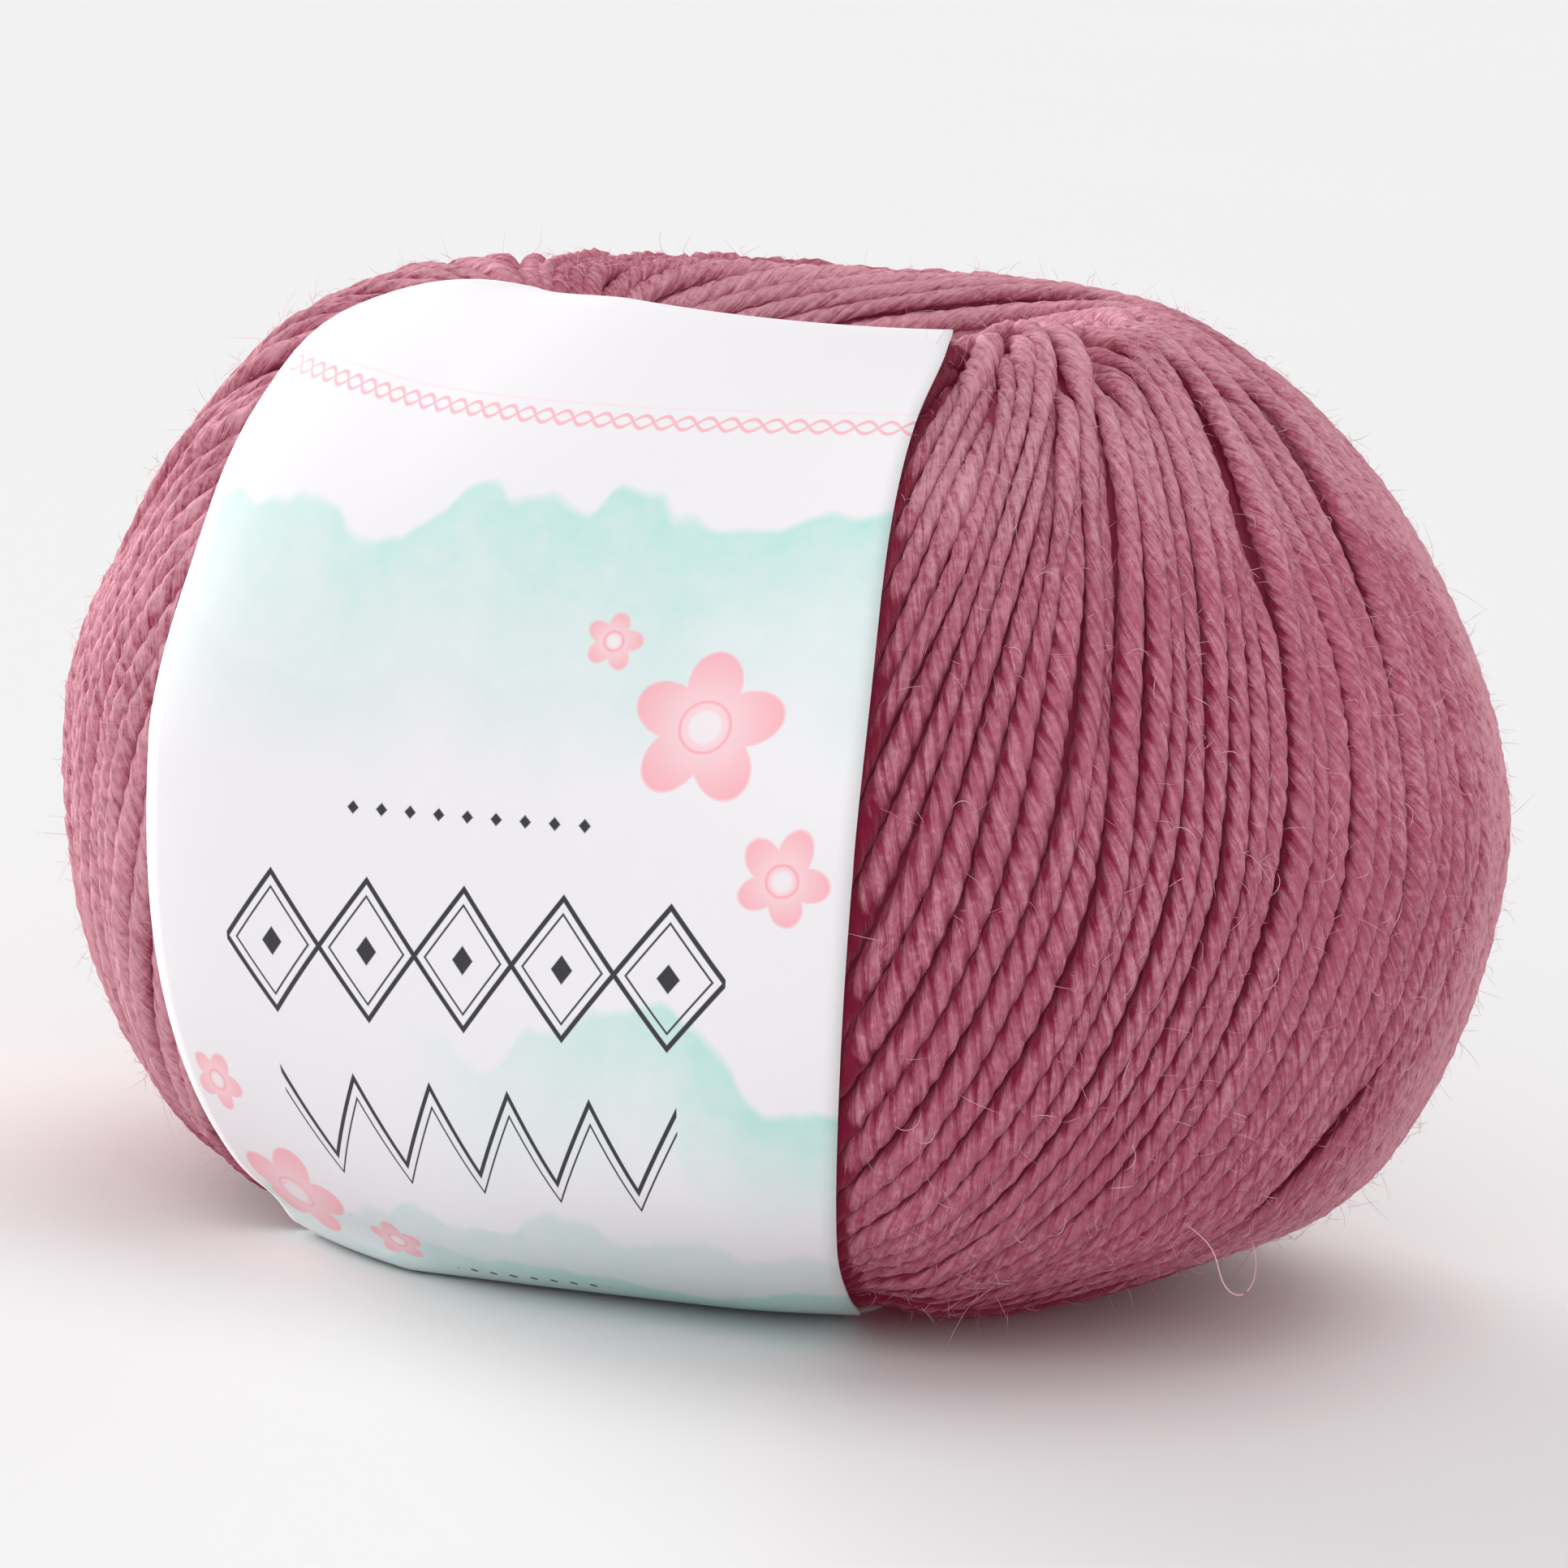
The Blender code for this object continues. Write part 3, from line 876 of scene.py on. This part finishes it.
def strand_mesh(name, paths, material):
    """One object of many strands.  Each is its points, outward directions, widths, twist and
    painted shade or light.
    """
    points = []
    heights = []
    quads = []
    fans = []
    uvs = []
    first = 0
    for path, normals, width, pitch, painted_shade in paths:
        steps = np.linalg.norm(np.diff(path, axis=0), axis=1)
        length = np.concatenate([[0.0], np.cumsum(steps)])
        rings, height = twisted_strand(path, normals, length, width, pitch)
        count, columns = rings.shape[:2]
        points.append(rings.reshape(-1, 3))
        points.append(path[[0, -1]])
        # Painted shade lowers the height that sets the wool's groove colour, painted light raises
        # it
        height = height - SUNK_SHADE * painted_shade[:, None] / STRAND_WIDTH
        heights.append(np.append(height.ravel(), (0.0, 0.0)))
        corners = grid_corners(count, columns, False)
        quads.append(first + grid_quads(corners, columns))
        across = np.stack([(corners[0][1] + extra) / columns for extra in (0, 1, 1, 0)], -1)
        down = np.stack([length[row] for row, _ in corners], -1)
        uvs.append(np.stack([across, down], -1).reshape(-1, 2))
        ring, after = corners[0][1][0], corners[1][1][0]
        tip = np.full(columns, first + count * columns)
        last = first + (count - 1) * columns
        fans.append(np.stack([first + after, first + ring, tip], -1))
        fans.append(np.stack([last + ring, last + after, tip + 1], -1))
        first += count * columns + 2
    faces = [np.concatenate(quads), np.concatenate(fans)]
    uvs = np.concatenate(uvs + [np.zeros((faces[1].size, 2))])
    return make_mesh(name, np.concatenate(points), faces, material, uvs, np.concatenate(heights))


def even_path(points, normals, widths, sinks, count, hidden=None):
    """The same path with evenly spaced points, sparser where it is hidden."""
    steps = np.linalg.norm(np.diff(points, axis=0), axis=1)
    if hidden is not None:
        steps = steps * np.where(hidden[1:], HIDDEN_DETAIL, 1.0)
    length = np.concatenate([[0.0], np.cumsum(steps)])
    wanted = np.linspace(0.0, length[-1], count)
    values = np.hstack([points, normals, widths[:, None], sinks[:, None]])
    values = np.stack([np.interp(wanted, length, column) for column in values.T], axis=1)
    return values[:, :3], values[:, 3:6], values[:, 6], values[:, 7]


def strand_rise(turns, seen, sinks):
    """How far each strand stands proud of the others, or lies in a hollow."""
    strand = np.arange(STRAND_COUNT)[:, None] / STRAND_COUNT
    rise = waves(16, strand, turns, 0.3, 1.5, (30, 78)) * UNEVEN_HEIGHT
    for angle, half_width, turn, half_length, height in SWELLS:
        across = np.maximum(1.0 - ((seen - angle) / half_width) ** 2, 0.0)
        down = np.maximum(1.0 - ((turns - turn) / half_length) ** 2, 0.0)
        rise = rise + height * MM * across * down ** 2
    return rise * np.clip(1.0 - sinks / STRAND_WIDTH, 0.0, 1.0)


def strand_shade(turns, seen, height, past_edge):
    """How much painted shade darkens a strand beyond its depth, or painted light makes it paler
    if negative.
    """
    worn = rising(-turns, *WORN_DOWN) * rising(seen, *WORN_LEFT) * falling(seen, *WORN_RIGHT)
    # Painted shade, darker towards the floor
    under = 1.0 - rising(height, 0.0, UNDER_HEIGHT)
    upper = UPPER_PAINTED_LIGHT * rising(turns, *UPPER_UP) * falling(np.abs(seen), *UPPER_SIDE)
    limb = rising(seen, *LIMB_START) * falling(seen, *LIMB_END)
    right = RIGHT_PAINTED_LIGHT * rising(seen, *RIGHT_START) + LIMB_PAINTED_LIGHT * limb
    # Round the back the left side's painted light turns into the right side's
    limb = rising(seen, *LEFT_START)
    left = (RIGHT_PAINTED_LIGHT + (LEFT_PAINTED_LIGHT - RIGHT_PAINTED_LIGHT) * limb) * falling(seen, *LEFT_END)
    left = left * (1.0 + LEFT_FOOT_PAINTED_LIGHT * limb * rising(-turns, *LEFT_DOWN))
    painted_light = np.maximum(np.maximum(upper, right), left) * (1.0 - under)
    shade = UNDER_SHADE * under - np.maximum(WORN_SHADE * worn, painted_light)
    beside = 1.0 - rising(past_edge, 0.0, EDGE_REACH)
    return (shade * (1.0 - beside) + EDGE_SHADE * beside) * STRAND_WIDTH


def make_strands(material):
    """The turns of yarn on the ball's skin, as a few objects, and the strands' paths."""
    turns = np.linspace(FOOT_TURN, TOP_TURN, PATH_STEPS)
    angles = strand_angles(turns)
    sinks = strand_sinks(turns, angles)
    ends = np.minimum(turns - FOOT_TURN, TOP_TURN - turns)
    sinks = sinks + END_SINK * STRAND_WIDTH * (1.0 - smooth_step(ends / END_TURN))
    bed = BAND_SPACE * bed_share(turns[None, :], wrapped(angles))
    widths = strand_widths(turns, angles, sinks)
    widths = widths * rng.uniform(*WIDTH_RANGE, STRAND_COUNT)[:, None]
    strand = np.arange(STRAND_COUNT)[:, None] / STRAND_COUNT
    seen = np.degrees(wrapped(FULL_TURN * strand - math.radians(CAMERA_ANGLE)))
    rise = strand_rise(turns, seen, sinks)
    depth = 0.5 * widths + sinks + bed - rise
    points, normals = skin(turns[None, :] + 0.0 * angles, angles, depth)
    points[..., 2] = np.maximum(points[..., 2], LOWEST_SHARE * widths)
    past_edge = past_band(turns[None, :], wrapped(angles))
    # Depth, painted shade and painted light of each strand, passed on to its colour through the
    # height attribute
    shade = sinks + strand_shade(turns, seen, points[..., 2], past_edge)
    hidden = turns < HIDDEN_TURN
    place = np.linspace(0.0, 1.0, RINGS)
    paths = []
    for index in range(STRAND_COUNT):
        path, out, width, painted_shade = even_path(points[index], normals[index], widths[index],
                                           shade[index], RINGS, hidden)
        swells = place * rng.uniform(*SWELL_COUNTS) + rng.uniform()
        swell = 1.0 + SWELL_SHARE * np.sin(FULL_TURN * swells)
        pitch = PLY_PITCH * rng.uniform(*TWIST_RANGE)
        if rise[index].max() > LOOSE_HEIGHT:
            pitch *= LOOSE_TWIST
        paths.append((path, out, width * swell, pitch, painted_shade))
    share = STRAND_COUNT // STRAND_PIECES
    pieces = []
    for piece in range(STRAND_PIECES):
        name = "strands_%d" % (piece + 1)
        pieces.append(strand_mesh(name, paths[piece * share:(piece + 1) * share], material))
    return pieces, paths


def make_wall_strands(material):
    """Turns of yarn down the hole's wall."""
    stations = np.linspace(*WALL_STATIONS, PATH_STEPS)
    radius, height = profile(stations)
    run = np.hypot(np.gradient(radius), np.gradient(height))
    turned = np.cumsum(run * WALL_LEAN / radius)
    ends = np.minimum(stations - stations[0], stations[-1] - stations)
    sinks = WALL_END_SINK * STRAND_WIDTH * (1.0 - smooth_step(ends / WALL_END))
    depth = 0.5 * STRAND_WIDTH + sinks
    paths = []
    for index in range(WALL_COUNT):
        jitter = rng.uniform(-START_JITTER, START_JITTER)
        angles = turned + FULL_TURN * (index + jitter) / WALL_COUNT
        bed = BAND_SPACE * bed_share(stations, wrapped(angles))
        points, normals = skin(stations, angles, depth + bed)
        width = np.full(len(stations), STRAND_WIDTH)
        path, out, width, painted_shade = even_path(points, normals, width, 0.0 * width, WALL_RINGS)
        paths.append((path, out, width, PLY_PITCH, painted_shade))
    return strand_mesh("strands_in_hole", paths, material)


def make_core(material):
    """The wound body under the outer strands."""
    rows = np.linspace(0.0, STATION_COUNT, CORE_ROWS + 1)[:-1]
    columns = 2 * STRAND_COUNT
    station, column = np.meshgrid(rows, np.arange(columns), indexing="ij")
    lean = CORE_LEAN * np.sin(station * FULL_TURN / STATION_COUNT)
    angle = FULL_TURN * column / columns + lean
    depth = CORE_DEPTH + CORE_GROOVE * (column % 2)
    depth = depth + BAND_SPACE * bed_share(station, wrapped(angle))
    points, _ = skin(station, angle, depth)
    quads = grid_quads(grid_corners(CORE_ROWS, columns, True), columns)
    return make_mesh("wound_core", points.reshape(-1, 3), [quads], material)


# ---- paper band

PAPER_THICKNESS = 0.3 * MM
PAPER_DEPTH = 0.05 * MM
BAND_ROWS = 240
BAND_COLUMNS = 44
BAND_WIDTH = 50.0  # in the print's mm
FRONT_SHARE = 0.72  # of the way round, down from the rim, has the print


def make_band(material):
    """The paper, as a closed loop, with the print's place in its UV."""
    stations = np.linspace(0.0, STATION_COUNT, BAND_ROWS + 1)[:-1]
    share = np.linspace(0.0, 1.0, BAND_COLUMNS + 1)
    station, across = np.meshgrid(stations, share, indexing="ij")
    left, right = band_at(station)[:2]
    angle = left + (right - left) * across
    outer, normals = skin(station, angle, PAPER_DEPTH)
    inner = outer - normals * PAPER_THICKNESS
    middle = outer[:, BAND_COLUMNS // 2]
    steps = np.linalg.norm(np.roll(middle, -1, axis=0) - middle, axis=1)
    length = np.concatenate([[0.0], np.cumsum(steps)])
    whole = length[-1]
    rim = length[np.argmin(np.abs(stations - 1.0))]
    rings = np.concatenate([outer, inner[:, ::-1]], axis=1)
    around = rings.shape[1]
    corners = grid_corners(BAND_ROWS, around, True)
    quads = grid_quads(corners, around)
    place = np.concatenate([share, share[::-1]])
    sideways = np.stack([(place[column] - 0.5) * BAND_WIDTH for _, column in corners], -1)
    # Down the front from the rim: stations fall from 1 to 0 and on from 6
    down = (rim - length[:-1]) % whole / MM
    down = np.where(down > FRONT_SHARE * whole / MM, down - whole / MM, down)
    row = corners[0][0]
    next_down = down[row] - steps[row] / MM
    downwards = np.stack([down[row], down[row], next_down, next_down], -1)
    uvs = np.stack([sideways, downwards], -1).reshape(-1, 2) / UV_SCALE
    return make_mesh("printed_band", rings.reshape(-1, 3), [quads], material, uvs)


# ---- loose fibres


def thin_tubes(name, paths, radii, material):
    """One object of many fine fibres, three-sided and pointed at both ends."""
    count = paths.shape[1]
    along = unit(np.gradient(paths, axis=1))
    guide = np.roll(along, 1, axis=2) + np.array([0.31, 0.17, 0.23])
    out = unit(np.cross(along, guide))
    side = np.cross(along, out)
    taper = np.sqrt(np.sin(np.linspace(0.08, 0.97, count) * math.pi))
    reach = radii[:, None] * taper[None, :]
    rings = []
    for corner in range(3):
        turned = FULL_TURN * corner / 3.0
        offset = out * math.cos(turned) + side * math.sin(turned)
        rings.append(paths + offset * reach[..., None])
    points = np.stack(rings, axis=2).reshape(-1, 3)
    fibre, row, column = np.meshgrid(np.arange(len(paths)), np.arange(count - 1), np.arange(3),
                                     indexing="ij")
    base = (fibre * count + row) * 3
    following = (column + 1) % 3
    quads = np.stack([base + column, base + following, base + 3 + following,
                      base + 3 + column], -1)
    start = np.arange(len(paths)) * count * 3
    end = start + (count - 1) * 3
    caps = np.concatenate([np.stack([start + 2, start + 1, start], -1),
                           np.stack([end, end + 1, end + 2], -1)])
    return make_mesh(name, points, [quads.reshape(-1, 4), caps], material)


def uncovered(points):
    """Which points lie clear of the paper band."""
    low = points[..., 2] < WIDEST_HEIGHT
    table = np.linspace(0.0, 1.0, 200)
    upper = profile(table)[1]
    lower = profile(STATION_COUNT - table)[1]
    station = np.where(low, STATION_COUNT - np.interp(points[..., 2], lower[::-1], table[::-1]),
                       np.interp(points[..., 2], upper, table))
    angle = np.arctan2(points[..., 0], AXIS_Y - points[..., 1])
    return past_band(station, angle) > FIBRE_MARGIN


def make_fibres(paths, material):
    """Short fibres that stand off the strands."""
    points = np.array([path[0] for path in paths])
    bare = uncovered(points)
    chosen = rng.integers(0, len(paths), SPARE_FIBRES * FIBRE_COUNT)
    ring = rng.integers(END_RINGS, RINGS - END_RINGS, SPARE_FIBRES * FIBRE_COUNT)
    open_air = bare[chosen, ring]
    chosen = chosen[open_air][:FIBRE_COUNT]
    ring = ring[open_air][:FIBRE_COUNT]
    roots = points[chosen, ring]
    out = np.array([paths[i][1][r] for i, r in zip(chosen, ring)])
    along = unit(np.array([paths[i][0][r + 1] - paths[i][0][r] for i, r in zip(chosen, ring)]))
    side = np.cross(along, out)

    def drawn(low, high):
        return rng.uniform(low, high, FIBRE_COUNT)[:, None]

    tilt = drawn(-0.9, 0.9)
    rise = out * np.cos(tilt) + side * np.sin(tilt)
    roots = roots + rise * FIBRE_ROOT * STRAND_WIDTH
    heading = unit(along * drawn(-1.0, 1.0) + side * drawn(-0.8, 0.8) + out * drawn(0.1, 0.9))
    length = drawn(0.35, 1.0)[..., None] ** 2 * FIBRE_LENGTH * MM
    bend = rng.normal(0.0, 0.45, (FIBRE_COUNT, 3)) - 0.25 * out
    place = np.linspace(0.0, 1.0, FIBRE_STEPS)[None, :, None]
    lines = heading[:, None, :] * place + bend[:, None, :] * place ** 2
    lines = roots[:, None, :] + length * lines
    lines[..., 2] = np.maximum(lines[..., 2], 2.0 * FIBRE_RADIUS)
    radii = FIBRE_RADIUS * rng.uniform(0.7, 1.3, FIBRE_COUNT)
    return thin_tubes("loose_fibres", lines, radii, material)


def make_stray_fibres(material):
    """A few long hairs that curl over the strands, and one loop that hangs off the foot."""
    right, up, back = (np.array(axis) for axis in camera_axes())
    place = np.linspace(0.0, 1.0, STRAY_STEPS)[:, None]
    paths = []
    for _ in range(STRAY_COUNT):
        station = rng.uniform(*STRAY_STATIONS)
        angle = math.radians(CAMERA_ANGLE + rng.uniform(*STRAY_SIDES))
        start, out = skin(station, angle, -STRAY_RISE)
        turned = rng.uniform(0.0, FULL_TURN)
        curl = rng.uniform(-STRAY_CURL, STRAY_CURL)
        size = rng.uniform(*STRAY_SIZES) * MM
        heading = turned + curl * place
        side = np.cross(out, (0.0, 0.0, 1.0))
        rise = np.cross(side, out)
        flat = np.cumsum(np.cos(heading) * side + np.sin(heading) * rise, axis=0) / STRAY_STEPS
        lift = STRAY_LIFT * np.sin(math.pi * place) * out
        paths.append(start + size * flat + lift)
    start, _ = skin(LOOP_STATION, math.radians(CAMERA_ANGLE + LOOP_ANGLE))
    bent = np.array([np.interp(place[:, 0], np.linspace(0.0, 1.0, len(LOOP)), side)
                     for side in np.array(LOOP).T * MM])
    across, down = smoothed(bent, 2)[..., None]
    paths.append(start + across * right - down * up + LOOP_LIFT * back)
    radii = np.full(len(paths), STRAY_RADIUS)
    radii[-1] = LOOP_RADIUS
    return thin_tubes("stray_fibres", np.array(paths), radii, material)


# ---- floor, light and camera

FLOOR_HALF = 6.0
FLOOR_COLOURS = ((0.795, 0.79, 0.792, 1.0), (0.81, 0.805, 0.807, 1.0))
WORLD_STRENGTH = 0.50
# Name, place (right, up and back of the camera), spread in degrees, strength and colour
SUNS = (
    ("softbox_above", (0.15, 1.0, -0.10), 40.0, 0.78, (1.0, 0.995, 0.99)),
    ("left_window", (-1.0, 0.18, -1.1), 42.0, 7.6, (1.0, 0.985, 0.975)),
    ("right_window", (1.0, 0.24, -0.75), 50.0, 0.9, (0.98, 0.985, 1.0)),
    ("front_fill", (-0.22, 0.44, 1.0), 50.0, 1.10, (1.0, 0.995, 1.0)),
)


def camera_axes():
    """Right, up and back of the upright camera."""
    turned = math.radians(CAMERA_ANGLE)
    raised = math.radians(CAMERA_HEIGHT_ANGLE)
    back = Vector((math.sin(turned) * math.cos(raised), -math.cos(turned) * math.cos(raised),
                   math.sin(raised)))
    right = Vector((math.cos(turned), math.sin(turned), 0.0))
    return right, back.cross(right), back


def make_camera():
    right, up, back = camera_axes()
    target = Vector((0.0, AXIS_Y, WIDEST_HEIGHT))
    data = bpy.data.cameras.new("camera")
    data.lens = CAMERA_LENS
    data.sensor_width = 36.0
    data.shift_x, data.shift_y = CAMERA_SHIFT
    data.clip_start = 0.01
    data.clip_end = 50.0
    camera = add_object("camera", data)
    upright = Matrix((right, up, back)).transposed().to_4x4()
    roll = Matrix.Rotation(math.radians(CAMERA_ROLL), 4, "Z")
    camera.matrix_world = Matrix.Translation(target + back * CAMERA_DISTANCE) @ upright @ roll
    bpy.context.scene.camera = camera


def make_floor():
    material = mottled_material("floor", FLOOR_COLOURS, 3.0, 2.0, Roughness=0.55,
                                Specular_IOR_Level=0.3)
    corners = FLOOR_HALF * np.array([(-1, -1, 0), (1, -1, 0), (1, 1, 0), (-1, 1, 0)])
    floor = make_mesh("floor", corners, [np.array([[0, 1, 2, 3]])], material)


def add_sun(name, place, spread, energy, colour):
    """A soft distant light from this way right, up and back in the camera's directions."""
    right, _, back = camera_axes()
    offset = right * place[0] + Vector((0.0, 0.0, 1.0)) * place[1] + back * place[2]
    data = bpy.data.lights.new(name, "SUN")
    data.angle = math.radians(spread)
    data.energy = energy
    data.color = colour
    add_object(name, data).rotation_euler = offset.to_track_quat("Z", "Y").to_euler()


def make_light():
    world = bpy.data.worlds.new("studio")
    bpy.context.scene.world = world
    world.use_nodes = True
    background = world.node_tree.nodes["Background"]
    background.inputs["Color"].default_value = (0.97, 0.97, 0.98, 1.0)
    background.inputs["Strength"].default_value = WORLD_STRENGTH
    for sun in SUNS:
        add_sun(*sun)
    bpy.context.scene.view_settings.view_transform = "Standard"


def main():
    wool = wool_material()
    # Core: the same wool painted darker, painted shade in the gaps between the outer strands, and
    # painted glow
    shaded_core_wool = mottled_material(
        "shaded_core_wool", CORE_SHADE_COLOURS, 900.0, 3.0, Roughness=0.9, Specular_IOR_Level=0.1,
        Emission_Color=WOOL_GLOW, Emission_Strength=0.10)
    # Fibres paler than the wool: painted highlight of fine hairs
    fibre = mottled_material("fibre", FIBRE_COLOURS, 400.0, 1.0, Roughness=0.8,
                             Specular_IOR_Level=0.2)
    strands, paths = make_strands(wool)
    for piece in strands:
        stands_for(piece, "yarn_ball")
    stands_for(make_wall_strands(wool), "yarn_ball")
    stands_for(make_core(shaded_core_wool), "yarn_ball")
    stands_for(make_fibres(paths, fibre), "yarn_ball")
    stands_for(make_stray_fibres(fibre), "yarn_ball")
    stands_for(make_band(paper_material()), "paper_band")
    make_floor()
    make_light()
    make_camera()


main()
